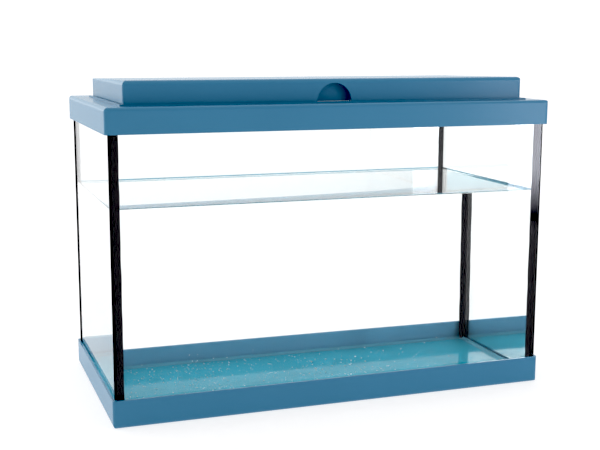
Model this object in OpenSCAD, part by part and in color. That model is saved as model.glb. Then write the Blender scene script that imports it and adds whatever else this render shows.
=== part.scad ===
// Small household aquarium: a glued glass tank in a plastic tray, with a plastic
// top frame and a hinged lid that carries a fluorescent lamp.
// Origin: centre of the tray's underside. +X to the right, +Y to the rear, +Z up.

/* [Glass tank] */
// Outer width of the glass tank
tank_w = 600; // [580:10:800]
// Outer depth of the glass tank
tank_d = 300; // [280:10:400]
// Height of the four glass walls
tank_h = 396; // [250:5:500]
// Thickness of every glass pane
glass_t = 6; // [4:0.5:8]
// Silicone gap between two glued panes
joint_gap = 1; // [0.5:0.25:2]
// Leg of the triangular silicone bead in a corner
bead_leg = 5.5; // [3:0.5:8]

/* [Base tray] */
// Height of the tray's outer wall
tray_h = 37; // [25:1:60]
// Thickness of the tray's outer wall
tray_wall = 3; // [2:0.5:4]
// Thickness of the tray's floor
tray_floor = 4; // [3:0.5:6]
// Gap between the tray wall and the glass
tray_gap = 1.5; // [0.5:0.25:3]
// Radius of the tray's lower outer edge
tray_edge_r = 6; // [2:0.5:8]
// Depth of the relief under the tray's floor
relief_depth = 1.5; // [0.5:0.5:2]
// Width of the flat ring that the tray stands on
foot_ring_w = 26; // [15:1:40]

/* [Top frame] */
// Height of the frame's outer wall
frame_h = 33; // [25:1:50]
// Thickness of the frame's outer wall
frame_wall = 3.5; // [2:0.5:5]
// Gap between the frame wall and the glass
frame_gap = 2.5; // [0.5:0.25:4]
// Thickness of the frame's top plate
plate_t = 3; // [2:0.5:5]
// Radius of the frame's upper outer edge
frame_edge_r = 5; // [2:0.5:8]
// Thickness of the lip inside the glass
lip_t = 2.5; // [1.5:0.5:4]
// Height of the lip inside the glass
lip_h = 12; // [6:1:20]
// Gap between the lip and the glass
lip_gap = 0.5; // [0.25:0.25:1]
// Height of the drip ridge round the lid
ridge_h = 2; // [1:0.25:3]
// Width of the drip ridge
ridge_w = 3; // [2:0.5:5]

/* [Lid] */
// Border left of the frame on each side of the lid
side_border = 28; // [22:1:40]
// Border of the frame in front of the lid
front_border = 29; // [25:1:50]
// Border of the frame behind the lid
rear_border = 45; // [40:1:56]
// Height of the lid at its front edge
lid_h = 29.5; // [29:0.5:45]
// How much lower the lid's top is at the rear
lid_drop = 5; // [0:0.5:5]
// Wall thickness of the lid
lid_wall = 2.5; // [2:0.25:4]
// Radius of the lid's upper edges
lid_edge_r = 6; // [3:0.5:8]
// Gap between the lid's lower edge and the frame
lid_gap = 1.5; // [1.5:0.25:4]
// How far the plate reaches in under the lid's front and side walls
ledge_w = 12; // [8:1:13]
// Radius of the half-round finger recess
recess_r = 24; // [15:0.5:24]
// Depth of the finger recess
recess_depth = 12; // [8:0.5:16]

/* [Hinge] */
// Diameter of a hinge pin
pin_d = 4; // [3:0.5:5]
// Radial clearance of the pin in the lid's knuckle
pin_play = 0.05; // [0.02:0.01:0.1]
// Distance of the hinge axis behind the lid's rear wall
axis_back = 9; // [7:0.5:12]
// Height of the hinge axis above the frame's plate
axis_up = 5.5; // [5:0.5:8]
// Distance of each hinge from the middle
hinge_x = 190; // [120:5:230]
// Width of the lid's knuckle
knuckle_w = 10; // [6:1:20]
// Thickness of each ear on the frame
ear_t = 6; // [4:0.5:10]
// Side clearance between knuckle and ears
ear_play = 0.5; // [0.3:0.1:1]

/* [Lamp] */
// Overall length of the tube between its cap faces
tube_len = 437; // [288:1:438]
// Diameter of the tube
tube_d = 26; // [16:1:26]
// Length of each metal end cap of the tube
cap_len = 14; // [10:1:20]
// Distance of the tube's axis in front of the tank's middle
lamp_forward = 12; // [0:1:30]
// Height of the tube's axis above the frame's plate
lamp_up = 1; // [0:0.25:1.5]
// Length of a lamp socket
socket_len = 42; // [36:1:48]
// Length of a locking collar
collar_len = 18; // [14:1:20]
// Clearance between a locking collar and what it turns on
collar_play = 0.35; // [0.3:0.05:0.6]
// Thickness of the reflector sheet
sheet_t = 1; // [0.5:0.25:1.5]
// Width of the reflector's flat middle
reflector_flat = 60; // [54:1:70]
// Width of the reflector over its two sides
reflector_w = 106; // [90:1:120]
// Height of the reflector
reflector_h = 16; // [10:1:18]
// Gap between each end of the reflector and the lid's side wall
reflector_gap = 13.5; // [2:0.5:20]
// Clearance between the turning collars and the reflector
collar_clear = 0.75; // [0.5:0.25:2]

/* [Control gear] */
// Length of the control gear box
gear_len = 180; // [170:1:220]
// Depth of the control gear box
gear_d = 46; // [40:1:50]
// Height of the control gear box
gear_h = 29; // [27:0.5:36]
// Wall thickness of the control gear box
gear_wall = 2; // [1.5:0.25:3]

/* [Hidden] */
$fn = 48;
eps = 0.01;
through = 1;

blue = [0.27, 0.53, 0.68];
clear_glass = [0.75, 0.9, 0.88, 0.35];
black = [0.04, 0.04, 0.05];
clear_silicone = [0.85, 0.88, 0.88, 0.6];
white = [0.92, 0.92, 0.9];
metal = [0.7, 0.71, 0.73];

// Levels of the tank
glass_z = tray_floor;
water_floor_z = glass_z + glass_t;
rim_z = glass_z + tank_h;
plate_z = rim_z + plate_t;
inner_w = tank_w - 2 * glass_t;
inner_d = tank_d - 2 * glass_t;

// Base tray
tray_w = tank_w + 2 * (tray_gap + tray_wall);
tray_d = tank_d + 2 * (tray_gap + tray_wall);
tray_plan_r = 5;
brace_w = 14;

// Top frame
frame_w = tank_w + 2 * (frame_gap + frame_wall);
frame_d = tank_d + 2 * (frame_gap + frame_wall);
frame_plan_r = 5;
lip_w = inner_w - 2 * lip_gap;
lip_d = inner_d - 2 * lip_gap;
lip_r = 3;

// Lid
lid_w = frame_w - 2 * side_border;
lid_front = front_border - frame_d / 2;
lid_rear = frame_d / 2 - rear_border;
lid_d = lid_rear - lid_front;
lid_y = (lid_front + lid_rear) / 2;
lid_z = plate_z + lid_gap;
lid_plan_r = 4;
lid_inner_r = lid_plan_r - lid_wall / 2;
ridge_gap = 2;
pocket_wall = 2;

// Opening in the frame's plate
open_w = lid_w - 2 * ledge_w;
open_front = lid_front + ledge_w;
open_rear = lip_d / 2 - lip_t;
open_r = 3;

// Hinge
axis_y = lid_rear + axis_back;
axis_z = plate_z + axis_up;
knuckle_r = 4.5;
ear_top = 4.5;
ear_rear = frame_d / 2 - frame_wall - 2.5;
pin_len = knuckle_w + 2 * (ear_play + ear_t);
ear_fit = 0.02;

// Pads under the lid's front corners
pad_w = 4;
pad_len = 8;
pad_play = 0.3;
rib_w = pad_w + 0.5;
pad_x = open_w / 2 + pad_w / 2 + 0.5;
pad_y = open_front + pad_len / 2 - 3;

// Lamp
lamp_y = -lamp_forward;
lamp_z = plate_z + lamp_up;
tube_r = tube_d / 2;
tube_glass_t = 0.8;
tube_glass_len = tube_len - 2 * cap_len;
contact_r = 1.2;
contact_len = 7;
contact_pitch = 12.7;
contact_play = 0.3;
socket_bore_r = tube_r + 0.6;
socket_r = socket_bore_r + 2;
socket_cup = 11;
socket_x = tube_len / 2 + 1;
socket_post_w = 20;
collar_r = socket_r + collar_play + 1.8;
collar_front = 4;
collar_x = socket_x - socket_cup - collar_front - collar_play;
grip_count = 12;
grip_r = 1;
clip_x = 120;
clip_w = 10;
clip_t = 1.5;
clip_play = 0.1;
clip_mouth = 50;

// Reflector, hung below the lid's roof
reflector_len = lid_w - 2 * lid_wall - 2 * reflector_gap;
reflector_top = lamp_z + collar_r + grip_r + collar_clear + sheet_t;
reflector_flange = 6;
boss_r = 4;
boss_x = 180;
boss_y = 22;
screw_r = 1.5;
screw_head_r = 3;
screw_head_h = 2;
screw_play = 0.1;
screw_len = 5.5;

// Control gear
gear_y = lid_rear - lid_wall - 2 - gear_d / 2;
gear_top = lid_z + lid_h - lid_drop - lid_wall - 1.5;
gear_z = gear_top - gear_h;
cover_t = 2.5;
gear_rib_x = 60;
gear_rib_t = 2;
post_r = 3;
post_inset = 2;
post_x = gear_len / 2 - gear_wall - post_inset;
post_y = gear_d / 2 - gear_wall - post_inset;
ballast_len = 106;
ballast_d = 30;
ballast_h = 20;
ballast_x = ballast_len / 2 + post_r + 4 - post_x;
starter_r = 10.5;
starter_len = 36;
starter_pin_r = 1.5;
starter_pin_len = 4;
starter_pin_pitch = 10;
starter_x = ballast_x + ballast_len / 2 + 9 + starter_pin_len + starter_len / 2;
gland_r = 8;
gland_thread_r = 6;
gland_cap_r = 7;
gland_bore_r = 3.2;
gland_flange = 5;
gland_cap_len = 12;

// A rectangle with true arcs at its corners
module round_rect(w, d, r) {
  square([w - 2 * r, d], center = true);
  square([w, d - 2 * r], center = true);
  for (sx = [-1, 1], sy = [-1, 1])
    translate([sx * (w / 2 - r), sy * (d / 2 - r)]) circle(r = r);
}

// A rectangle standing on its base line, with its two upper corners rounded
module crown(w, h, r) {
  translate([-w / 2, 0]) square([w, h - r]);
  translate([r - w / 2, 0]) square([w - 2 * r, h]);
  for (side = [-1, 1]) translate([side * (w / 2 - r), h - r]) circle(r = r);
}

// A block on z = 0 with rounded uprights and rounded upper edges
module soft_block(w, d, h, plan_r, edge_r) {
  intersection() {
    linear_extrude(h) round_rect(w, d, plan_r);
    rotate([90, 0, 0]) linear_extrude(d + 2 * through, center = true) crown(w, h, edge_r);
    rotate([90, 0, 90]) linear_extrude(w + 2 * through, center = true) crown(d, h, edge_r);
  }
}

// A cylinder that lies along X, centred on its place
module x_rod(r, len) {
  rotate([0, 90, 0]) cylinder(r = r, h = len, center = true);
}

// A prism along X from an outline drawn in Y and Z
module x_prism(len) {
  rotate([90, 0, 90]) linear_extrude(len, center = true) children();
}

module base_tray() {
  color(blue)
  difference() {
    translate([0, 0, tray_h]) mirror([0, 0, 1])
      soft_block(tray_w, tray_d, tray_h, tray_plan_r, tray_edge_r);
    translate([0, 0, tray_floor])
      linear_extrude(tray_h)
        round_rect(tray_w - 2 * tray_wall, tray_d - 2 * tray_wall, tray_plan_r - tray_wall / 2);
    for (side = [-1, 1])
      translate([side * (tray_w / 4 - foot_ring_w / 2 + brace_w / 4), 0, -through])
        linear_extrude(relief_depth + through)
          round_rect(tray_w / 2 - foot_ring_w - brace_w / 2, tray_d - 2 * foot_ring_w, tray_plan_r);
  }
}

module pane(w, d, z, h) {
  color(clear_glass) translate([-w / 2, -d / 2, z]) cube([w, d, h]);
}

module bottom_glass() {
  pane(inner_w - 2 * joint_gap, inner_d - 2 * joint_gap, glass_z, glass_t);
}

// Front and rear panes run the full width
module long_pane(side) {
  translate([0, side * (tank_d - glass_t) / 2, 0]) pane(tank_w, glass_t, glass_z, tank_h);
}

// Side panes stand between the front and rear panes
module short_pane(side) {
  translate([side * (tank_w - glass_t) / 2, 0, 0])
    pane(glass_t, inner_d - 2 * joint_gap, glass_z, tank_h);
}

module front_glass() { long_pane(-1); }
module rear_glass() { long_pane(1); }
module left_glass() { short_pane(-1); }
module right_glass() { short_pane(1); }

// Black silicone of one upright corner: the glued strip and the bead inside it.
// Drawn for the right rear corner and mirrored into place
module corner_seam(side_x, side_y) {
  corner_x = tank_w / 2 - glass_t;
  corner_y = tank_d / 2 - glass_t;
  color(black)
  mirror([side_x < 0 ? 1 : 0, 0, 0]) mirror([0, side_y < 0 ? 1 : 0, 0]) {
    translate([corner_x, corner_y - joint_gap, glass_z])
      cube([glass_t, joint_gap, tank_h]);
    translate([0, 0, water_floor_z])
      linear_extrude(tank_h - glass_t - lip_h)
        polygon([[corner_x, corner_y], [corner_x - bead_leg, corner_y],
          [corner_x, corner_y - joint_gap - bead_leg]]);
  }
}

module seam_front_left() { corner_seam(-1, -1); }
module seam_front_right() { corner_seam(1, -1); }
module seam_rear_left() { corner_seam(-1, 1); }
module seam_rear_right() { corner_seam(1, 1); }

// Clear silicone that fills the gap round the bottom pane
module bottom_bead() {
  color(clear_silicone) translate([0, 0, glass_z])
  linear_extrude(glass_t) difference() {
    square([inner_w, inner_d], center = true);
    square([inner_w - 2 * joint_gap, inner_d - 2 * joint_gap], center = true);
  }
}

module hinge_ear(x) {
  translate([x, 0, axis_z]) {
    translate([0, axis_y, 0]) x_rod(knuckle_r, ear_t);
    translate([-ear_t / 2, axis_y, -axis_up - eps])
      cube([ear_t, ear_rear - axis_y, ear_top + axis_up + eps]);
  }
}

// Low ridge that keeps drips off the frame, open at the rear
module drip_ridge() {
  ridge_in = lid_w / 2 + ridge_gap;
  ridge_front = lid_front - ridge_gap;
  translate([0, 0, plate_z - eps]) linear_extrude(ridge_h + eps) {
    translate([-ridge_in - ridge_w, ridge_front - ridge_w])
      square([2 * (ridge_in + ridge_w), ridge_w]);
    for (side = [-1, 1])
      translate([side * (ridge_in + ridge_w / 2) - ridge_w / 2, ridge_front - ridge_w])
        square([ridge_w, lid_rear - ridge_front + ridge_w]);
  }
}

module top_frame() {
  ear_x = (knuckle_w + ear_t) / 2 + ear_play;
  color(blue)
  difference() {
    union() {
      difference() {
        translate([0, 0, plate_z - frame_h])
          soft_block(frame_w, frame_d, frame_h, frame_plan_r, frame_edge_r);
        // Hollow for the glass, from below
        translate([0, 0, plate_z - frame_h - through])
          linear_extrude(frame_h - plate_t + through)
            round_rect(frame_w - 2 * frame_wall, frame_d - 2 * frame_wall,
              frame_plan_r - frame_wall / 2);
      }
      // Lip inside the glass
      translate([0, 0, rim_z - lip_h])
        linear_extrude(lip_h + eps) round_rect(lip_w, lip_d, lip_r);
      drip_ridge();
    }
    // Hollow inside the lip
    translate([0, 0, rim_z - lip_h - through])
      linear_extrude(lip_h + through)
        round_rect(lip_w - 2 * lip_t, lip_d - 2 * lip_t, lip_r - lip_t / 2);
    // Opening in the plate
    translate([0, (open_front + open_rear) / 2, rim_z - through])
      linear_extrude(plate_t + ridge_h + 2 * through)
        round_rect(open_w, open_rear - open_front, open_r);
  }
  color(blue)
  difference() {
    for (hinge = [-1, 1], side = [-1, 1]) hinge_ear(hinge * hinge_x + side * ear_x);
    translate([0, axis_y, axis_z]) x_rod(pin_d / 2 + ear_fit, frame_w);
  }
}

module hinge_pin(side) {
  color(metal) translate([side * hinge_x, axis_y, axis_z]) x_rod(pin_d / 2, pin_len);
}

module hinge_pin_left() { hinge_pin(-1); }
module hinge_pin_right() { hinge_pin(1); }

module lid_pad(side) {
  color(black)
    translate([side * pad_x - pad_w / 2, pad_y - pad_len / 2, plate_z])
      cube([pad_w, pad_len, lid_gap - pad_play]);
}

module lid_pad_left() { lid_pad(-1); }
module lid_pad_right() { lid_pad(1); }

// Everything below the lid's sloping outer top; inset lowers it by a wall
module under_roof(inset) {
  x_prism(lid_w + 2 * through)
    polygon([[-lid_d, -lid_h], [lid_d, -lid_h],
      [lid_d, lid_h - inset - lid_drop / lid_d * (lid_d * 3 / 2)],
      [-lid_d, lid_h - inset + lid_drop / lid_d * (lid_d / 2)]]);
}

module lid_shell() {
  difference() {
    intersection() {
      soft_block(lid_w, lid_d, lid_h, lid_plan_r, lid_edge_r);
      under_roof(0);
    }
    intersection() {
      translate([0, 0, -through])
        linear_extrude(lid_h + through)
          round_rect(lid_w - 2 * lid_wall, lid_d - 2 * lid_wall, lid_inner_r);
      under_roof(lid_wall);
    }
  }
}

// Half-round scoop in the front wall, drawn from the lid's front face inwards
module recess_shape(r, depth) {
  translate([0, -lid_d / 2, 0]) rotate([-90, 0, 0]) cylinder(r = r, h = depth);
}

module lid_knuckle(x) {
  translate([x, 0, 0]) {
    translate([0, axis_y, axis_z]) x_rod(knuckle_r - ear_play, knuckle_w);
    translate([-knuckle_w / 2, lid_rear - lid_wall, lid_z])
      cube([knuckle_w, axis_back + lid_wall, axis_z + knuckle_r - ear_play - lid_z]);
  }
}

// What stands down from the lid's roof: bosses, ribs and the pocket of the recess
module lid_inside() {
  intersection() {
    union() {
      for (sx = [-1, 1], sy = [-1, 1])
        translate([sx * boss_x, lamp_y - lid_y + sy * boss_y, reflector_top - lid_z])
          cylinder(r = boss_r, h = lid_h);
      for (sx = [-1, 1]) {
        translate([sx * gear_rib_x - gear_rib_t / 2, gear_y - lid_y - gear_d / 2, gear_top - lid_z])
          cube([gear_rib_t, gear_d, lid_h]);
        translate([sx * pad_x - rib_w / 2, pad_y - lid_y - pad_len / 2, 0])
          cube([rib_w, pad_len, lid_h]);
      }
      recess_shape(recess_r + pocket_wall, recess_depth + pocket_wall);
    }
    linear_extrude(lid_h) square([lid_w - lid_wall, lid_d - lid_wall], center = true);
    under_roof(lid_wall / 2);
  }
}

module lid() {
  color(blue)
  difference() {
    union() {
      translate([0, lid_y, lid_z]) difference() {
        union() {
          lid_shell();
          lid_inside();
        }
        recess_shape(recess_r, recess_depth);
        // Pilot holes of the reflector's screws
        for (sx = [-1, 1], sy = [-1, 1])
          translate([sx * boss_x, lamp_y - lid_y + sy * boss_y, reflector_top - lid_z - through])
            cylinder(r = screw_r + screw_play, h = screw_len + through);
      }
      for (side = [-1, 1]) lid_knuckle(side * hinge_x);
    }
    translate([0, axis_y, axis_z]) x_rod(pin_d / 2 + pin_play, frame_w);
  }
}

// Outline of the folded sheet, from its upper face down to its lower face
module reflector_outline() {
  flat = reflector_flat / 2;
  wide = reflector_w / 2;
  edge = wide + reflector_flange;
  low = reflector_h;
  polygon([[-edge, -low], [-wide, -low], [-flat, 0], [flat, 0], [wide, -low], [edge, -low],
    [edge, -low - sheet_t], [wide - sheet_t / 2, -low - sheet_t], [flat - sheet_t / 2, -sheet_t],
    [sheet_t / 2 - flat, -sheet_t], [sheet_t / 2 - wide, -low - sheet_t], [-edge, -low - sheet_t]]);
}

module reflector() {
  color(white)
  difference() {
    translate([0, lamp_y, reflector_top]) x_prism(reflector_len) reflector_outline();
    for (sx = [-1, 1], sy = [-1, 1])
      translate([sx * boss_x, lamp_y + sy * boss_y, reflector_top - 2 * sheet_t])
        cylinder(r = screw_r + screw_play, h = 4 * sheet_t);
  }
}

module screw(head_z, len) {
  translate([0, 0, head_z - screw_head_h]) cylinder(r = screw_head_r, h = screw_head_h);
  translate([0, 0, head_z - eps]) cylinder(r = screw_r, h = len + eps);
}

module reflector_screws() {
  color(metal)
    for (sx = [-1, 1], sy = [-1, 1])
      translate([sx * boss_x, lamp_y + sy * boss_y, 0])
        screw(reflector_top - sheet_t, screw_len - sheet_t);
}

module tube() {
  color(white) translate([0, lamp_y, lamp_z]) difference() {
    x_rod(tube_r, tube_glass_len);
    x_rod(tube_r - tube_glass_t, tube_glass_len + 2 * through);
  }
}

module tube_cap(side) {
  color(metal) translate([0, lamp_y, lamp_z]) {
    translate([side * (tube_glass_len + cap_len) / 2, 0, 0]) x_rod(tube_r, cap_len);
    for (pin = [-1, 1])
      translate([side * (tube_len + contact_len - eps) / 2, pin * contact_pitch / 2, 0])
        x_rod(contact_r, contact_len + eps);
  }
}

module tube_cap_left() { tube_cap(-1); }
module tube_cap_right() { tube_cap(1); }

// Watertight socket: a cup over the tube's end, closed behind it, on a post
module lamp_socket(side) {
  body_len = socket_len - socket_cup;
  color(black) translate([0, lamp_y, lamp_z]) difference() {
    union() {
      translate([side * (socket_x - socket_cup + socket_len / 2), 0, 0]) x_rod(socket_r, socket_len);
      translate([side * (socket_x + body_len / 2) - socket_post_w / 2, -socket_post_w / 2, 0])
        cube([socket_post_w, socket_post_w, reflector_top - sheet_t - lamp_z]);
    }
    translate([side * (socket_x - socket_cup / 2 - through / 2), 0, 0])
      x_rod(socket_bore_r, socket_cup + through);
    for (pin = [-1, 1])
      translate([side * (socket_x + contact_len / 2 - through / 2), pin * contact_pitch / 2, 0])
        x_rod(contact_r + contact_play, contact_len + through);
  }
}

module socket_left() { lamp_socket(-1); }
module socket_right() { lamp_socket(1); }

// Quarter-turn locking collar with grip ribs, round the socket's mouth
module locking_collar(side) {
  color(black) translate([0, lamp_y, lamp_z]) difference() {
    translate([side * (collar_x + collar_len / 2), 0, 0]) union() {
      x_rod(collar_r, collar_len);
      for (i = [0:grip_count - 1])
        rotate([i * 360 / grip_count, 0, 0]) translate([0, 0, collar_r]) x_rod(grip_r, collar_len);
    }
    x_rod(tube_r + collar_play, tube_len + 2 * socket_len);
    translate([side * (collar_x + collar_front + collar_len / 2), 0, 0])
      x_rod(socket_r + collar_play, collar_len);
  }
}

module collar_left() { locking_collar(-1); }
module collar_right() { locking_collar(1); }

// Spring clip that holds the tube, open at the bottom
module tube_clip(side) {
  clip_out = tube_r + clip_play + clip_t;
  mouth = clip_out * tan(clip_mouth) * 2;
  color(white) translate([side * clip_x, lamp_y, lamp_z]) {
    difference() {
      x_rod(clip_out, clip_w);
      x_rod(tube_r + clip_play, clip_w + 2 * through);
      x_prism(clip_w + 2 * through) polygon([[0, 0], [-mouth, -2 * clip_out], [mouth, -2 * clip_out]]);
    }
    translate([-clip_w / 2, -clip_w / 2, tube_r + clip_play + clip_t / 2])
      cube([clip_w, clip_w, reflector_top - sheet_t - lamp_z - tube_r - clip_play - clip_t / 2]);
  }
}

module tube_clip_left() { tube_clip(-1); }
module tube_clip_right() { tube_clip(1); }

module gear_box() {
  color(white) translate([0, gear_y, gear_z + cover_t]) {
    depth = gear_h - cover_t;
    difference() {
      translate([-gear_len / 2, -gear_d / 2, 0]) cube([gear_len, gear_d, depth]);
      difference() {
        translate([gear_wall - gear_len / 2, gear_wall - gear_d / 2, -through])
          cube([gear_len - 2 * gear_wall, gear_d - 2 * gear_wall, depth - gear_wall + through]);
        for (sx = [-1, 1], sy = [-1, 1])
          translate([sx * post_x, sy * post_y, -through]) cylinder(r = post_r, h = depth + through);
      }
      for (sx = [-1, 1], sy = [-1, 1])
        translate([sx * post_x, sy * post_y, -through])
          cylinder(r = screw_r + screw_play, h = screw_len + 2 * through);
      translate([-gear_len / 2, 0, depth / 2]) x_rod(gland_thread_r + screw_play, 4 * gear_wall);
    }
  }
}

module gear_cover() {
  color(white) translate([0, gear_y, gear_z]) difference() {
    translate([-gear_len / 2, -gear_d / 2, 0]) cube([gear_len, gear_d, cover_t]);
    for (sx = [-1, 1], sy = [-1, 1])
      translate([sx * post_x, sy * post_y, -through])
        cylinder(r = screw_r + screw_play, h = cover_t + 2 * through);
  }
}

module cover_screws() {
  color(metal)
    for (sx = [-1, 1], sy = [-1, 1])
      translate([sx * post_x, gear_y + sy * post_y, 0]) screw(gear_z, screw_len);
}

module ballast() {
  color(metal)
    translate([ballast_x - ballast_len / 2, gear_y - ballast_d / 2, gear_z + cover_t])
      cube([ballast_len, ballast_d, ballast_h]);
}

module starter() {
  color(white) translate([starter_x, gear_y, gear_z + cover_t + starter_r]) {
    x_rod(starter_r, starter_len);
    for (pin = [-1, 1])
      translate([-(starter_len + starter_pin_len - eps) / 2, pin * starter_pin_pitch / 2, 0])
        x_rod(starter_pin_r, starter_pin_len + eps);
  }
}

// Gland for the mains cord, at the left end of the gear box
module cable_gland() {
  wall_x = -gear_len / 2;
  inside = 2 * gear_wall;
  color(black) translate([wall_x, gear_y, gear_z + (gear_h + cover_t) / 2]) difference() {
    union() {
      translate([inside / 2, 0, 0]) x_rod(gland_thread_r, inside);
      translate([-gland_flange / 2, 0, 0])
        rotate([0, 90, 0]) cylinder(r = gland_r, h = gland_flange, center = true, $fn = 6);
      translate([-gland_flange - gland_cap_len / 2 + eps, 0, 0]) x_rod(gland_cap_r, gland_cap_len);
    }
    translate([(inside - gland_flange - gland_cap_len) / 2, 0, 0])
      x_rod(gland_bore_r, inside + gland_flange + gland_cap_len + 2 * through);
  }
}

base_tray();
bottom_glass();
front_glass();
rear_glass();
left_glass();
right_glass();
seam_front_left();
seam_front_right();
seam_rear_left();
seam_rear_right();
bottom_bead();
top_frame();
hinge_pin_left();
hinge_pin_right();
lid_pad_left();
lid_pad_right();
lid();
reflector();
reflector_screws();
tube();
tube_cap_left();
tube_cap_right();
socket_left();
socket_right();
collar_left();
collar_right();
tube_clip_left();
tube_clip_right();
gear_box();
gear_cover();
cover_screws();
ballast();
starter();
cable_gland();
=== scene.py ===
"""Small household aquarium: plastic tray and hood round a glued glass tank with water in it."""

import math
import random

import bmesh
import bpy
from bpy.props import FloatProperty, FloatVectorProperty, IntProperty, PointerProperty
from mathutils import Matrix, Vector


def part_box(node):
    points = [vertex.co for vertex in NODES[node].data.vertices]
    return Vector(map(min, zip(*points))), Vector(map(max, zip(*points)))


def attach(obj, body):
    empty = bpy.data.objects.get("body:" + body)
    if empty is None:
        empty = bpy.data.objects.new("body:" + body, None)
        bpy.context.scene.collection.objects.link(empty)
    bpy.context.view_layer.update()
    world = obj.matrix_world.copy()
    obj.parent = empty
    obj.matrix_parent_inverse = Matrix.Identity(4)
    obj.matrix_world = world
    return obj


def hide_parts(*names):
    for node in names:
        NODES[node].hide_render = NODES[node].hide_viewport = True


bl_info = {
    "name": "Aquarium With Hinged Lid",
    "version": (1, 0, 0),
    "blender": (4, 5, 0),
    "location": "View3D > Sidebar > Aquarium",
    "description": "Builds the looks of a small glass aquarium with a plastic tray, frame and lid",
    "category": "Object",
}

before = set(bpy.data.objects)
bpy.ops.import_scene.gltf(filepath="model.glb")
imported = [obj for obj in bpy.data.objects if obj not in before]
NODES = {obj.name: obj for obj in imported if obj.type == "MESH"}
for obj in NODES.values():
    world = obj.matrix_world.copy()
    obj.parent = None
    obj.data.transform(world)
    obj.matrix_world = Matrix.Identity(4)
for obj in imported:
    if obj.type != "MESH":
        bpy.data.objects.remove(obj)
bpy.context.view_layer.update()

# Refractive indices
GLASS = 1.5
WATER = 1.333
SILICONE = 1.41


# ---------------------------------------------------------------- settings


class AquariumSizes(bpy.types.PropertyGroup):
    """Sizes that the Blender pieces add to the frame"""

    water_level: FloatProperty(
        name="Water Level",
        description="Height of the water's surface above the ground",
        default=0.2765,
        unit="LENGTH",
    )
    meniscus: FloatProperty(
        name="Meniscus",
        description="How far the water creeps up the glass",
        default=0.0022,
        unit="LENGTH",
    )
    arris: FloatProperty(
        name="Arris",
        description="Width of the ground edge of a pane",
        default=0.0007,
        unit="LENGTH",
    )
    bedding: FloatProperty(
        name="Bedding",
        description="How far a pane beds into the silicone, so that no air film is left",
        default=0.00005,
        unit="LENGTH",
    )


class AquariumColours(bpy.types.PropertyGroup):
    """Colours of the aquarium's materials"""

    plastic: FloatVectorProperty(
        name="Blue Plastic",
        description="Colour of the tray, the frame and the lid",
        subtype="COLOR",
        default=(0.076, 0.214, 0.340),
    )
    # Partly the tray's own blue, partly painted light: brightened for the light that reaches the
    # floor through the water and glass
    floor: FloatVectorProperty(
        name="Tank Floor",
        description="Colour of the tray as it shows through the bottom pane",
        subtype="COLOR",
        default=(0.060, 0.400, 0.540),
    )
    # Painted light: a lighter copy of the blue plastic for the tray's walls behind the glass,
    # standing in for the light that reaches them through the panes
    inside: FloatVectorProperty(
        name="Inside of the Tray",
        description="Colour of the tray's walls behind the glass",
        subtype="COLOR",
        default=(0.130, 0.330, 0.480),
    )
    silicone: FloatVectorProperty(
        name="Black Silicone",
        description="Colour of the upright seams",
        subtype="COLOR",
        default=(0.020, 0.017, 0.020),
    )
    water: FloatVectorProperty(
        name="Water",
        description="Tint of the water",
        subtype="COLOR",
        default=(0.985, 0.998, 0.998),
    )
    glass: FloatVectorProperty(
        name="Glass",
        description="Tint of the panes",
        subtype="COLOR",
        default=(0.985, 0.997, 0.992),
    )


class AquariumStage(bpy.types.PropertyGroup):
    """Camera and light"""

    lens: FloatProperty(
        name="Focal Length",
        description="Focal length of the camera in millimetres",
        default=64.78,
    )
    front_light: FloatProperty(
        name="Front Light",
        description="Strength of the white light from behind the camera",
        default=0.56,
    )
    backdrop_light: FloatProperty(
        name="Backdrop Light",
        description="Strength of the white backdrop behind the tank",
        default=1.22,
    )
    overhead_light: FloatProperty(
        name="Overhead Light",
        description="Strength of the light added from above",
        default=0.25,
    )
    side_light: FloatProperty(
        name="Side Light",
        description="Strength of the light added by the white panel behind the tank, to the left",
        default=2.4,
    )
    floor_glow: FloatProperty(
        name="Floor Glow",
        description="Light that the white floor gives off, as a lit table does",
        default=0.72,
    )
    black_level: FloatProperty(
        name="Black Level",
        description="How much of the glare is taken out of the darks",
        default=0.051,
    )
    softbox_strength: FloatProperty(
        name="Softbox Strength",
        description="Strength of the tall soft light to the right of the camera",
        default=11.0,
    )
    seed: IntProperty(
        name="Seed",
        description="Seed of the scattered sediment and of the waves in the silicone",
        default=7,
    )


# ---------------------------------------------------------------- node helpers


def shader_of(material):
    return material.node_tree.nodes["Principled BSDF"]


def new_material(name):
    material = bpy.data.materials.new(name)
    material.use_nodes = True
    return material, material.node_tree.nodes, material.node_tree.links, shader_of(material)


def feed(links, socket, value):
    """Gives a socket its value, or links it to the socket that has the value"""
    if isinstance(value, bpy.types.NodeSocket):
        links.new(value, socket)
    else:
        socket.default_value = value


def calculate(nodes, links, operation, *values):
    node = nodes.new("ShaderNodeMath")
    node.operation = operation
    for socket, value in zip(node.inputs, values):
        feed(links, socket, value)
    return node.outputs[0]


def ramp(nodes, links, value, start, end, low=0.0, high=1.0, kind="LINEAR"):
    """Takes a value from the range start to end into the range low to high"""
    node = nodes.new("ShaderNodeMapRange")
    node.interpolation_type = kind
    for name, given in (
        ("Value", value),
        ("From Min", start),
        ("From Max", end),
        ("To Min", low),
        ("To Max", high),
    ):
        feed(links, node.inputs[name], given)
    return node.outputs["Result"]


def blend(nodes, links, factor, first, second):
    """Mixes two colours"""
    node = nodes.new("ShaderNodeMix")
    node.data_type = "RGBA"
    for name, value in (("Factor", factor), ("A", first), ("B", second)):
        feed(links, node.inputs[name], value)
    return node.outputs["Result"]


def split_place(nodes, links, output):
    """Texture coordinates, whole and as separate X, Y and Z"""
    place = nodes.new("ShaderNodeTexCoord").outputs[output]
    parts = nodes.new("ShaderNodeSeparateXYZ")
    links.new(place, parts.inputs[0])
    return place, parts.outputs


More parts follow.
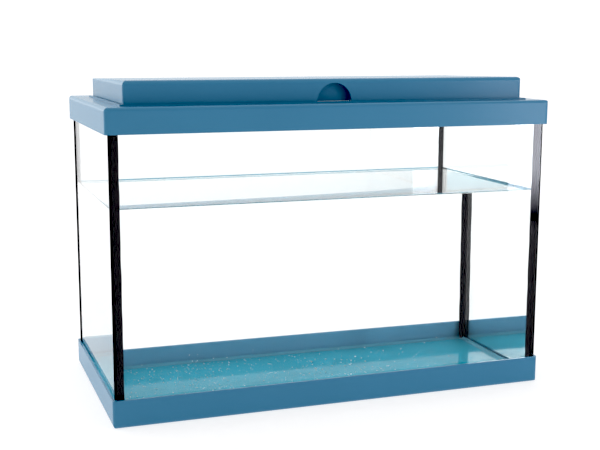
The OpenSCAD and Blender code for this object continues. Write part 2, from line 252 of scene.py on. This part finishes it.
def emboss(nodes, links, shader, height, strength):
    """Bump from a fine grain"""
    relief = nodes.new("ShaderNodeBump")
    relief.inputs["Strength"].default_value = strength
    relief.inputs["Distance"].default_value = 0.0005
    links.new(height, relief.inputs["Height"])
    links.new(relief.outputs["Normal"], shader.inputs["Normal"])


def group_sockets(group, inputs, outputs):
    """Declares a group's sockets and adds its input and output nodes"""
    for name, kind, value in inputs:
        socket = group.interface.new_socket(name=name, in_out="INPUT", socket_type=kind)
        socket.default_value = value
    for name, kind in outputs:
        group.interface.new_socket(name=name, in_out="OUTPUT", socket_type=kind)
    nodes = group.nodes
    return nodes.new("NodeGroupInput"), nodes.new("NodeGroupOutput")


def place_group(nodes, group, **values):
    """Adds a group; each value goes to the input of that name"""
    node = nodes.new("ShaderNodeGroup")
    node.node_tree = group
    for name, value in values.items():
        node.inputs[name.replace("_", " ").title()].default_value = value
    return node


def surface_group():
    """Moulded grain, cloudy wear and a soft colour drift for plastic parts"""
    group = bpy.data.node_groups.get("moulded surface")
    if group:
        return group
    group = bpy.data.node_groups.new("moulded surface", "ShaderNodeTree")
    given, result = group_sockets(
        group,
        (
            ("Colour", "NodeSocketColor", (0.5, 0.5, 0.5, 1.0)),
            ("Roughness", "NodeSocketFloat", 0.4),
            ("Grain Scale", "NodeSocketFloat", 900.0),
            ("Drift", "NodeSocketFloat", 0.08),
            ("Wear", "NodeSocketFloat", 0.1),
        ),
        (
            ("Colour", "NodeSocketColor"),
            ("Roughness", "NodeSocketFloat"),
            ("Height", "NodeSocketFloat"),
        ),
    )
    nodes, links = group.nodes, group.links
    place = nodes.new("ShaderNodeTexCoord")
    grain = nodes.new("ShaderNodeTexNoise")
    grain.inputs["Detail"].default_value = 3.0
    links.new(place.outputs["Object"], grain.inputs["Vector"])
    links.new(given.outputs["Grain Scale"], grain.inputs["Scale"])
    links.new(grain.outputs["Fac"], result.inputs["Height"])
    cloud = nodes.new("ShaderNodeTexNoise")
    cloud.inputs["Scale"].default_value = 9.0
    cloud.inputs["Detail"].default_value = 5.0
    links.new(place.outputs["Object"], cloud.inputs["Vector"])
    # Colour drifts a little lighter and darker with the clouds
    middle = calculate(nodes, links, "MULTIPLY_ADD", given.outputs["Drift"], -0.5, 1.0)
    drift = calculate(
        nodes, links, "MULTIPLY_ADD", cloud.outputs["Fac"], given.outputs["Drift"], middle
    )
    tone = nodes.new("ShaderNodeVectorMath")
    tone.operation = "SCALE"
    links.new(given.outputs["Colour"], tone.inputs[0])
    links.new(drift, tone.inputs["Scale"])
    links.new(tone.outputs[0], result.inputs["Colour"])
    # Roughness rises in the worn patches
    worn = calculate(
        nodes,
        links,
        "MULTIPLY_ADD",
        cloud.outputs["Fac"],
        given.outputs["Wear"],
        given.outputs["Roughness"],
    )
    links.new(worn, result.inputs["Roughness"])
    return group


def moulded(name, colour, roughness, grain=900.0, drift=0.08, wear=0.1, bump=0.02):
    """A plastic, rubber or painted finish with a fine grain"""
    material, nodes, links, shader = new_material(name)
    surface = place_group(
        nodes,
        surface_group(),
        colour=(*colour, 1.0),
        roughness=roughness,
        grain_scale=grain,
        drift=drift,
        wear=wear,
    )
    links.new(surface.outputs["Colour"], shader.inputs["Base Color"])
    links.new(surface.outputs["Roughness"], shader.inputs["Roughness"])
    emboss(nodes, links, shader, surface.outputs["Height"], bump)
    return material


def clear(name, colour, index, roughness=0.0):
    """Glass or water"""
    material, _nodes, _links, shader = new_material(name)
    shader.inputs["Base Color"].default_value = (*colour, 1.0)
    shader.inputs["Transmission Weight"].default_value = 1.0
    shader.inputs["IOR"].default_value = index
    shader.inputs["Roughness"].default_value = roughness
    return material


def dress(node, material):
    """Gives a node from the frame its finish"""
    slots = NODES[node].material_slots
    for slot in slots:
        slot.material = material
    if not slots:
        NODES[node].data.materials.append(material)


# ---------------------------------------------------------------- mesh helpers


def close_mesh(bm, name):
    """Turns the normals outward and makes the mesh"""
    bmesh.ops.recalc_face_normals(bm, faces=bm.faces[:])
    mesh = bpy.data.meshes.new(name)
    bm.to_mesh(mesh)
    bm.free()
    return mesh


def put_in_order(bm):
    """Builds a mesh again with its parts in a fixed order, which a cut doesn't leave"""
    faces = []
    for face in bm.faces:
        corners = [vert.co[:] for vert in face.verts]
        first = corners.index(min(corners))
        faces.append(corners[first:] + corners[:first])
    places = sorted({place for corners in faces for place in corners})
    ordered = bmesh.new()
    verts = {place: ordered.verts.new(place) for place in places}
    for corners in sorted(faces):
        ordered.faces.new([verts[place] for place in corners])
    bm.free()
    return ordered


def bridge(bm, ring, following):
    """Skins the strip between two closed rings"""
    for i in range(len(ring)):
        k = (i + 1) % len(ring)
        bm.faces.new((ring[i], ring[k], following[k], following[i]))


def make_piece(name, mesh, body, material, smooth_angle=35.0):
    """Adds a mesh to the scene, smooth but for its sharp edges, on a body of the frame"""
    mesh.polygons.foreach_set("use_smooth", [True] * len(mesh.polygons))
    mesh.set_sharp_from_angle(angle=math.radians(smooth_angle))
    piece = bpy.data.objects.new(name, mesh)
    bpy.context.scene.collection.objects.link(piece)
    mesh.materials.append(material)
    if body:
        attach(piece, body)
    return piece


# ---------------------------------------------------------------- operators


class AQUARIUM_OT_stage(bpy.types.Operator):
    """Build the white floor, the soft light and the camera"""

    bl_idname = "aquarium.stage"
    bl_label = "Stage"

    def execute(self, context):
        settings = context.scene.aquarium_stage
        material, nodes, links, shader = new_material("studio floor")
        shader.inputs["Base Color"].default_value = (0.33, 0.33, 0.34, 1.0)
        shader.inputs["Roughness"].default_value = 0.9
        shader.inputs["Specular IOR Level"].default_value = 0.0
        shader.inputs["Emission Color"].default_value = (1.0, 1.0, 1.0, 1.0)
        shader.inputs["Emission Strength"].default_value = settings.floor_glow
        mesh = bpy.data.meshes.new("studio_floor")
        reach = 40.0
        corners = [(-reach, -reach, 0), (reach, -reach, 0), (reach, reach, 0), (-reach, reach, 0)]
        mesh.from_pydata(corners, [], [(0, 1, 2, 3)])
        floor = make_piece("studio_floor", mesh, None, material)
        self.make_world(context, settings)
        self.make_softbox(settings.softbox_strength)
        self.make_camera(context, settings.lens)
        view = context.scene.view_settings
        view.view_transform = "Standard"
        view.use_curve_mapping = True
        view.curve_mapping.black_level = (settings.black_level,) * 3
        view.curve_mapping.update()
        context.scene.cycles.max_bounces = 32
        context.scene.cycles.transmission_bounces = 32
        context.scene.cycles.glossy_bounces = 8
        return {"FINISHED"}

    def make_world(self, context, settings):
        """White backdrop all round, brightest behind the tank, dim behind the camera"""
        world = bpy.data.worlds.new("white studio")
        context.scene.world = world
        world.use_nodes = True
        nodes, links = world.node_tree.nodes, world.node_tree.links
        # The direction's Y is -1 in front of the tank and 1 behind it, its Z 1 overhead
        direction, parts = split_place(nodes, links, "Generated")
        front, back = settings.front_light, settings.backdrop_light
        rear = ramp(nodes, links, parts["Y"], -0.35, 0.45, front, back, "SMOOTHSTEP")
        overhead = settings.overhead_light
        above = ramp(nodes, links, parts["Z"], 0.15, 0.8, 0.0, overhead, "SMOOTHSTEP")
        toward = nodes.new("ShaderNodeVectorMath")
        toward.operation = "DOT_PRODUCT"
        toward.inputs[1].default_value = (-0.77, 0.64, 0.0)
        links.new(direction, toward.inputs[0])
        facing, side = toward.outputs["Value"], settings.side_light
        panel = ramp(nodes, links, facing, 0.72, 0.95, 0.0, side, "SMOOTHSTEP")
        total = calculate(nodes, links, "ADD", rear, above)
        total = calculate(nodes, links, "ADD", total, panel)
        # Seen directly or through the glass the backdrop is white on every side
        path = nodes.new("ShaderNodeLightPath").outputs
        bounces = calculate(nodes, links, "ADD", path["Diffuse Depth"], path["Glossy Depth"])
        direct = calculate(nodes, links, "LESS_THAN", bounces, 0.5)
        white = calculate(nodes, links, "MULTIPLY", direct, back)
        strength = calculate(nodes, links, "MAXIMUM", total, white)
        background = nodes["Background"]
        background.inputs["Color"].default_value = (1.0, 1.0, 1.0, 1.0)
        links.new(strength, background.inputs["Strength"])

    def make_softbox(self, strength):
        """Tall soft light to the right of the camera, which fades out towards its foot"""
        material, nodes, links, shader = new_material("softbox cloth")
        shader.inputs["Base Color"].default_value = (0.0, 0.0, 0.0, 1.0)
        shader.inputs["Specular IOR Level"].default_value = 0.0
        shader.inputs["Emission Strength"].default_value = strength
        _place, parts = split_place(nodes, links, "Object")
        fade = ramp(nodes, links, parts["Z"], 0.0, 0.17, kind="SMOOTHSTEP")
        dark, lit = (0.0, 0.0, 0.0, 1.0), (0.88, 0.90, 1.0, 1.0)
        links.new(blend(nodes, links, fade, dark, lit), shader.inputs["Emission Color"])
        middle, half = Vector((1.04, -1.33)), Vector((0.068, 0.042))
        foot, top = 0.01, 1.1
        left, right = middle - half, middle + half
        mesh = bpy.data.meshes.new("softbox")
        mesh.from_pydata(
            [(*left, foot), (*right, foot), (*right, top), (*left, top)], [], [(3, 2, 1, 0)]
        )
        light = make_piece("softbox", mesh, None, material)
        light.visible_camera = False

    def make_camera(self, context, lens):
        data = bpy.data.cameras.new("camera")
        data.sensor_width = 36.0
        data.lens = lens
        data.clip_end = 200.0
        camera = bpy.data.objects.new("camera", data)
        context.scene.collection.objects.link(camera)
        yaw, pitch_down, roll = -19.513, 9.651, 0.156
        camera.matrix_world = (
            Matrix.Translation((-0.5165, -1.4503, 0.4816))
            @ Matrix.Rotation(math.radians(yaw), 4, "Z")
            @ Matrix.Rotation(math.radians(90 - pitch_down), 4, "X")
            @ Matrix.Rotation(math.radians(roll), 4, "Z")
        )
        context.scene.camera = camera


class AQUARIUM_OT_tank(bpy.types.Operator):
    """Build the glass panes with their ground edges, wet below the water line"""

    bl_idname = "aquarium.tank"
    bl_label = "Glass Panes"

    def execute(self, context):
        colours = context.scene.aquarium_colours
        sizes = context.scene.aquarium_sizes
        dry = clear("float glass", colours.glass, GLASS)
        # Light passes from glass to water here, so only the step between the two counts
        wet = clear("wet glass", colours.glass, GLASS / WATER)
        ground = clear("ground glass edge", (0.62, 0.80, 0.76), GLASS, 0.35)
        for side in ("front", "rear", "left", "right"):
            self.pane(f"{side}_glass", sizes, (dry, wet, ground))
        dress("bottom_glass", self.lit_floor_finish(colours.floor))
        return {"FINISHED"}

    def pane(self, node, sizes, finishes):
        """One pane: dry glass, wet glass inside below the water line, ground edges"""
        dry, wet, ground = range(3)
        low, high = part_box(node)
        centre = (low + high) / 2
        flat = 1 if high.y - low.y < high.x - low.x else 0
        inward = -1 if centre[flat] > 0 else 1
        bed = sizes.bedding
        if inward > 0:
            high[flat] += bed
        else:
            low[flat] -= bed
        if flat == 0:
            low.y -= bed
            high.y += bed
        bm = bmesh.new()
        bmesh.ops.create_cube(bm, size=1.0)
        for vert in bm.verts:
            for axis in range(3):
                vert.co[axis] = low[axis] if vert.co[axis] < 0 else high[axis]
        bmesh.ops.bevel(
            bm, geom=bm.edges[:], offset=sizes.arris, segments=1, affect="EDGES", profile=0.5
        )
        touch = sizes.water_level + sizes.meniscus
        whole = bm.verts[:] + bm.edges[:] + bm.faces[:]
        bmesh.ops.bisect_plane(bm, geom=whole, plane_co=(0, 0, touch), plane_no=(0, 0, 1))
        bm = put_in_order(bm)
        bm.normal_update()
        for face in bm.faces:
            slanted = max(abs(value) for value in face.normal) < 0.99
            faces_in = face.normal[flat] * inward > 0.9
            if slanted:
                face.material_index = ground
            elif faces_in and face.calc_center_median().z < touch:
                face.material_index = wet
            else:
                face.material_index = dry
        mesh = bpy.data.meshes.new(f"{node}_pane")
        bm.to_mesh(mesh)
        bm.free()
        piece = bpy.data.objects.new(f"{node}_pane", mesh)
        piece.visible_shadow = False
        bpy.context.scene.collection.objects.link(piece)
        for finish in finishes:
            mesh.materials.append(finish)
        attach(piece, "tank")
        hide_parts(node)

    def lit_floor_finish(self, colour):
        """The tray's blue floor under the bottom pane, with fine sediment lying on the glass; its
        turquoise is partly the tray's own and partly painted light, brightened for the light that
        reaches it through the water
        """
        material, nodes, links, shader = new_material("floor under glass")
        surface = place_group(
            nodes,
            surface_group(),
            colour=(*colour, 1.0),
            roughness=0.03,
            grain_scale=140.0,
            drift=0.35,
            wear=0.06,
        )
        place = nodes.new("ShaderNodeTexCoord").outputs["Object"]
        cells = nodes.new("ShaderNodeTexVoronoi")
        cells.voronoi_dimensions = "2D"
        cells.inputs["Scale"].default_value = 210.0
        links.new(place, cells.inputs["Vector"])
        parts = nodes.new("ShaderNodeSeparateColor")
        links.new(cells.outputs["Color"], parts.inputs[0])
        # Only some cells hold a speck, and its size follows the cell's chance
        size = ramp(nodes, links, parts.outputs[0], 0.72, 1.0, 0.0, 0.26)
        drifts = nodes.new("ShaderNodeTexNoise")
        drifts.inputs["Scale"].default_value = 16.0
        drifts.inputs["Detail"].default_value = 4.0
        links.new(place, drifts.inputs["Vector"])
        density = ramp(nodes, links, drifts.outputs["Fac"], 0.42, 0.66)
        spread = calculate(nodes, links, "MULTIPLY", size, density)
        speck = calculate(nodes, links, "LESS_THAN", cells.outputs["Distance"], spread)
        tone = blend(nodes, links, speck, surface.outputs["Colour"], (0.85, 0.92, 0.92, 1.0))
        links.new(tone, shader.inputs["Base Color"])
        links.new(surface.outputs["Roughness"], shader.inputs["Roughness"])
        emboss(nodes, links, shader, surface.outputs["Height"], 0.03)
        shader.inputs["IOR"].default_value = GLASS / WATER
        shader.inputs["Specular IOR Level"].default_value = 0.16
        return material


class AQUARIUM_OT_silicone(bpy.types.Operator):
    """Build the tooled black silicone of the corners and the clear bead round the floor"""

    bl_idname = "aquarium.silicone"
    bl_label = "Silicone"

    def execute(self, context):
        colours = context.scene.aquarium_colours
        seam = moulded("black silicone", colours.silicone, 0.6, grain=260.0, bump=0.08)
        shader_of(seam).inputs["Specular IOR Level"].default_value = 0.0
        chance = random.Random(context.scene.aquarium_stage.seed)
        for side_y, depth in ((-1, "front"), (1, "rear")):
            for side_x, hand in ((-1, "left"), (1, "right")):
                self.corner(f"seam_{depth}_{hand}", side_x, side_y, seam, chance)
        bead = clear("clear silicone", (0.22, 0.60, 0.76), SILICONE / WATER, 0.2)
        shader_of(bead).inputs["Transmission Weight"].default_value = 0.5
        self.floor_bead(bead, chance)
        return {"FINISHED"}

    def corner(self, node, side_x, side_y, finish, chance):
        """Upright seam: a concave bead inside the corner and a film over the long pane's end"""
        low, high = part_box(node)
        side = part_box("right_glass")
        thick = side[1].x - side[0].x
        outer_x = side[1].x
        corner = Vector((outer_x - thick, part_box("rear_glass")[0].y))
        gap = corner.y - side[1].y
        leg = corner.x - min(abs(low.x), abs(high.x))
        floor_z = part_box("bottom_glass")[1].z
        top_z = low.z + (high.z - low.z) * 0.97
        phase = [chance.uniform(0, 6.28) for _ in range(4)]
        smear = 0.0008
        # Height and width of the bead: a sliver past its ends, full and slightly wavy between.
        # Each wave has its radians a metre and its share of the width.
        fine, slow, lean = (190, 0.012), (71, 0.02), (120, 0.03)
        sliver, count, curve_steps, hollow = 0.04, 72, 8, 0.35
        stations = [(low.z, sliver), (floor_z, sliver)]
        for i in range(count + 1):
            z = floor_z + (top_z - floor_z) * i / count
            wave = math.sin(z * fine[0] + phase[0]) * fine[1]
            wave += math.sin(z * slow[0] + phase[1]) * slow[1]
            stations.append((z, 1.0 + wave))
        stations += [(top_z, sliver), (high.z, sliver)]
        bm = bmesh.new()
        rings = []
        for z, scale in stations:
            reach = leg * scale
            sway = 1.0 + lean[1] * math.sin(z * lean[0] + phase[2])
            start = Vector((corner.x - reach * sway, corner.y))
            end = Vector((corner.x, corner.y - gap - reach))
            bend = (start + end) / 2
            bend += (corner - bend) * hollow
            outline = [
                Vector((outer_x + smear, corner.y + thick)),
                Vector((outer_x, corner.y + thick)),
                Vector((outer_x, corner.y)),
            ]
            for step in range(curve_steps + 1):
                t = step / curve_steps
                outline.append(start * (1 - t) ** 2 + bend * 2 * t * (1 - t) + end * t**2)
            outline.append(Vector((corner.x, corner.y - gap)))
            outline.append(Vector((outer_x + smear, corner.y - gap)))
            rings.append([bm.verts.new((side_x * p.x, side_y * p.y, z)) for p in outline])
        for ring, above in zip(rings, rings[1:]):
            bridge(bm, ring, above)
        bm.faces.new(rings[0])
        bm.faces.new(rings[-1])
        name = f"{node}_bead"
        piece = make_piece(name, close_mesh(bm, name), "tank", finish)
        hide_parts(node)

    def floor_bead(self, finish, chance):
        """Clear silicone between the floor pane and the walls, tooled to a small fillet"""
        low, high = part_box("bottom_bead")
        top = high.z
        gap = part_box("bottom_glass")[0].x - low.x
        phase = [chance.uniform(0, 6.28) for _ in range(2)]
        # Distance in from the wall, and height, round the bead's section
        profile = (
            (0.0, low.z),
            (0.0, top + 0.0042),
            (0.0006, top + 0.0026),
            (0.0016, top + 0.0014),
            (0.0030, top + 0.0005),
            (0.0046, top + 0.0001),
            (gap, top - 0.0001),
            (gap, low.z),
        )
        per_side, ripple_share = 40, 0.10
        places = ((low.x, low.y), (high.x, low.y), (high.x, high.y), (low.x, high.y))
        corners = [Vector(place) for place in places]
        bm = bmesh.new()
        rings = []
        for k, start in enumerate(corners):
            end = corners[(k + 1) % len(corners)]
            along = (end - start).normalized()
            inward = Vector((-along.y, along.x))
            for i in range(per_side):
                place = start.lerp(end, i / per_side)
                travel = k * per_side + i
                ripple = math.sin(travel * 0.9 + phase[0]) * math.sin(travel * 0.37 + phase[1])
                wave = 1.0 + ripple_share * ripple
                # The ring at a corner lies on the mitre
                lead = inward + along if i == 0 else inward
                ring = []
                for inset, z in profile:
                    shift = lead * (inset if inset in (0.0, gap) else inset * wave)
                    ring.append(bm.verts.new((place.x + shift.x, place.y + shift.y, z)))
                rings.append(ring)
        for ring, following in zip(rings, rings[1:] + rings[:1]):
            bridge(bm, ring, following)
        piece = make_piece("floor_bead", close_mesh(bm, "floor_bead"), "tank", finish)
        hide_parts("bottom_bead")


class AQUARIUM_OT_water(bpy.types.Operator):
    """Lay the water's surface, which creeps up the glass at its edges"""

    bl_idname = "aquarium.water"
    bl_label = "Water"

    def execute(self, context):
        sizes = context.scene.aquarium_sizes
        colours = context.scene.aquarium_colours
        reach_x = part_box("right_glass")[0].x
        reach_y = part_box("rear_glass")[0].y
        bm = bmesh.new()
        loops = []
        # The meniscus falls off over its decay length, and the last loop is flat
        decay = 0.0017
        insets = (0.0, 0.0003, 0.0007, 0.0012, 0.0019, 0.0028, 0.0042, 0.0065, 0.010, 0.016)
        for inset in insets:
            rise = 0.0 if inset == insets[-1] else sizes.meniscus * math.exp(-inset / decay)
            x, y, z = reach_x - inset, reach_y - inset, sizes.water_level + rise
            corners = ((-x, -y, z), (x, -y, z), (x, y, z), (-x, y, z))
            loops.append([bm.verts.new(corner) for corner in corners])
        for outer, inner in zip(loops, loops[1:]):
            bridge(bm, outer, inner)
        bm.faces.new(loops[-1])
        bmesh.ops.recalc_face_normals(bm, faces=bm.faces[:])
        bm.normal_update()
        if sum(face.normal.z for face in bm.faces) < 0:
            bmesh.ops.reverse_faces(bm, faces=bm.faces[:])
        mesh = bpy.data.meshes.new("water_surface")
        bm.to_mesh(mesh)
        bm.free()
        water = clear("water", colours.water, WATER)
        # Dark blue tint for the meniscus rim: painted shade
        edge = clear("water edge", (0.03, 0.17, 0.27), WATER)
        surface = make_piece("water_surface", mesh, "tank", water, 60.0)
        mesh.materials.append(edge)
        # The steep rim of the meniscus is tinted dark blue: painted shade for the dark line it
        # shows
        rim = sizes.water_level + sizes.meniscus * 0.30
        for face in mesh.polygons:
            if face.center.z > rim:
                face.material_index = 1
        surface.visible_shadow = False
        return {"FINISHED"}


class AQUARIUM_OT_sediment(bpy.types.Operator):
    """Scatter the fine white grains and flakes that lie on the tank's floor"""

    bl_idname = "aquarium.sediment"
    bl_label = "Sediment"

    def execute(self, context):
        chance = random.Random(context.scene.aquarium_stage.seed)
        low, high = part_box("bottom_glass")
        bm = bmesh.new()
        grains, flakes = 460, 16
        margin_x, margin_y, stirred_up = 0.008, 0.010, 0.016
        for _ in range(grains):
            # Most of it has settled in the left half
            across = min(chance.random(), chance.random())
            x = low.x + margin_x + (high.x - low.x - 2 * margin_x) * across
            y = low.y + margin_y + (high.y - low.y - 2 * margin_y) * chance.random()
            radius = chance.uniform(0.00028, 0.00078)
            lift = radius + (chance.random() ** 3) * stirred_up
            self.grain(bm, Vector((x, y, high.z + lift)), Vector((radius,) * 3), chance)
        for _ in range(flakes):
            place = Vector(
                (chance.uniform(0.01, 0.10), chance.uniform(0.02, 0.09), high.z + 0.0006)
            )
            size = Vector((chance.uniform(0.0012, 0.0036), chance.uniform(0.0005, 0.0014), 0.0005))
            self.grain(bm, place, size, chance)
        finish = moulded("white sediment", (0.90, 0.94, 0.94), 0.6, grain=2000.0)
        make_piece("sediment", close_mesh(bm, "sediment"), "tank", finish, 60.0)
        return {"FINISHED"}

    def grain(self, bm, place, size, chance):
        """One rough lump, turned at random"""
        turn = Matrix.Rotation(chance.uniform(0, math.pi), 3, "Z")
        made = bmesh.ops.create_icosphere(bm, subdivisions=1, radius=1.0)["verts"]
        for vert in made:
            rough = 1.0 + chance.uniform(-0.2, 0.2)
            vert.co = place + turn @ Vector([a * b * rough for a, b in zip(vert.co, size)])


class AQUARIUM_OT_plastic(bpy.types.Operator):
    """Give the tray, the frame and the lid their blue plastic"""

    bl_idname = "aquarium.plastic"
    bl_label = "Tray, Frame and Lid"

    def execute(self, context):
        colours = context.scene.aquarium_colours
        plastic = self.blue("blue plastic", colours)
        for node in ("top_frame", "lid"):
            dress(node, plastic)
        dress("base_tray", self.tray_plastic(colours))
        return {"FINISHED"}

    def blue(self, name, colours):
        material = moulded(name, colours.plastic, 0.24, grain=700.0, wear=0.03, bump=0.09)
        shader_of(material).inputs["Specular IOR Level"].default_value = 0.27
        return material

    def tray_plastic(self, colours):
        """Blue outside, and a lighter copy of the blue on the walls that show behind the glass:
        painted light for the light that reaches them through the panes
        """
        material = self.blue("tray plastic", colours)
        nodes, links = material.node_tree.nodes, material.node_tree.links
        low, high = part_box("front_glass")
        clearance = 0.0020
        limits = {"X": high.x + clearance, "Y": abs(low.y) + clearance}
        _place, parts = split_place(nodes, links, "Object")
        within = []
        for axis, limit in limits.items():
            distance = calculate(nodes, links, "ABSOLUTE", parts[axis])
            within.append(calculate(nodes, links, "LESS_THAN", distance, limit))
        # Mask of the tray's walls within the glass, which get the lighter copy of the blue as
        # painted light
        inside = calculate(nodes, links, "MULTIPLY", *within)
        base = shader_of(material).inputs["Base Color"]
        outer = base.links[0].from_socket
        links.new(blend(nodes, links, inside, outer, (*colours.inside, 1.0)), base)
        return material


class AQUARIUM_OT_fittings(bpy.types.Operator):
    """Give the lamp, the control gear and the hinges their finishes"""

    bl_idname = "aquarium.fittings"
    bl_label = "Lamp and Fittings"

    def execute(self, context):
        white = moulded("white plastic", (0.8, 0.8, 0.78), 0.45)
        black = moulded("black plastic", (0.012, 0.012, 0.013), 0.45, bump=0.1)
        rubber = moulded("black rubber", (0.015, 0.015, 0.015), 0.7, bump=0.2)
        sheet = moulded("white enamel", (0.85, 0.85, 0.83), 0.25)
        lamp = moulded("lamp glass", (0.9, 0.9, 0.88), 0.1)
        steel = moulded("bright steel", (0.6, 0.61, 0.63), 0.25)
        shader_of(steel).inputs["Metallic"].default_value = 1.0
        finishes = (
            (white, ("tube_clip_left", "tube_clip_right", "gear_box", "gear_cover", "starter")),
            (sheet, ("reflector",)),
            (lamp, ("tube",)),
            (black, ("socket_left", "socket_right", "collar_left", "collar_right")),
            (black, ("cable_gland",)),
            (rubber, ("lid_pad_left", "lid_pad_right")),
            (steel, ("tube_cap_left", "tube_cap_right", "hinge_pin_left", "hinge_pin_right")),
            (steel, ("reflector_screws", "cover_screws", "ballast")),
        )
        for material, names in finishes:
            for node in names:
                dress(node, material)
        return {"FINISHED"}


class AQUARIUM_PT_panel(bpy.types.Panel):
    """The aquarium's operators"""

    bl_idname = "AQUARIUM_PT_panel"
    bl_label = "Aquarium"
    bl_space_type = "VIEW_3D"
    bl_region_type = "UI"
    bl_category = "Aquarium"

    def draw(self, context):
        for operator in OPERATORS:
            self.layout.operator(operator.bl_idname)
        scene = context.scene
        for group in (scene.aquarium_sizes, scene.aquarium_colours, scene.aquarium_stage):
            for name in group.bl_rna.properties.keys():
                if name not in ("rna_type", "name"):
                    self.layout.prop(group, name)


OPERATORS = (
    AQUARIUM_OT_stage,
    AQUARIUM_OT_plastic,
    AQUARIUM_OT_tank,
    AQUARIUM_OT_silicone,
    AQUARIUM_OT_water,
    AQUARIUM_OT_sediment,
    AQUARIUM_OT_fittings,
)
CLASSES = (AquariumSizes, AquariumColours, AquariumStage, *OPERATORS, AQUARIUM_PT_panel)


def register():
    for cls in CLASSES:
        bpy.utils.register_class(cls)
    bpy.types.Scene.aquarium_sizes = PointerProperty(type=AquariumSizes)
    bpy.types.Scene.aquarium_colours = PointerProperty(type=AquariumColours)
    bpy.types.Scene.aquarium_stage = PointerProperty(type=AquariumStage)


def unregister():
    del bpy.types.Scene.aquarium_stage
    del bpy.types.Scene.aquarium_colours
    del bpy.types.Scene.aquarium_sizes
    for cls in reversed(CLASSES):
        bpy.utils.unregister_class(cls)


def main():
    register()
    bpy.ops.aquarium.stage()
    bpy.ops.aquarium.plastic()
    bpy.ops.aquarium.tank()
    bpy.ops.aquarium.silicone()
    bpy.ops.aquarium.water()
    bpy.ops.aquarium.sediment()
    bpy.ops.aquarium.fittings()


if __name__ == "__main__":
    main()
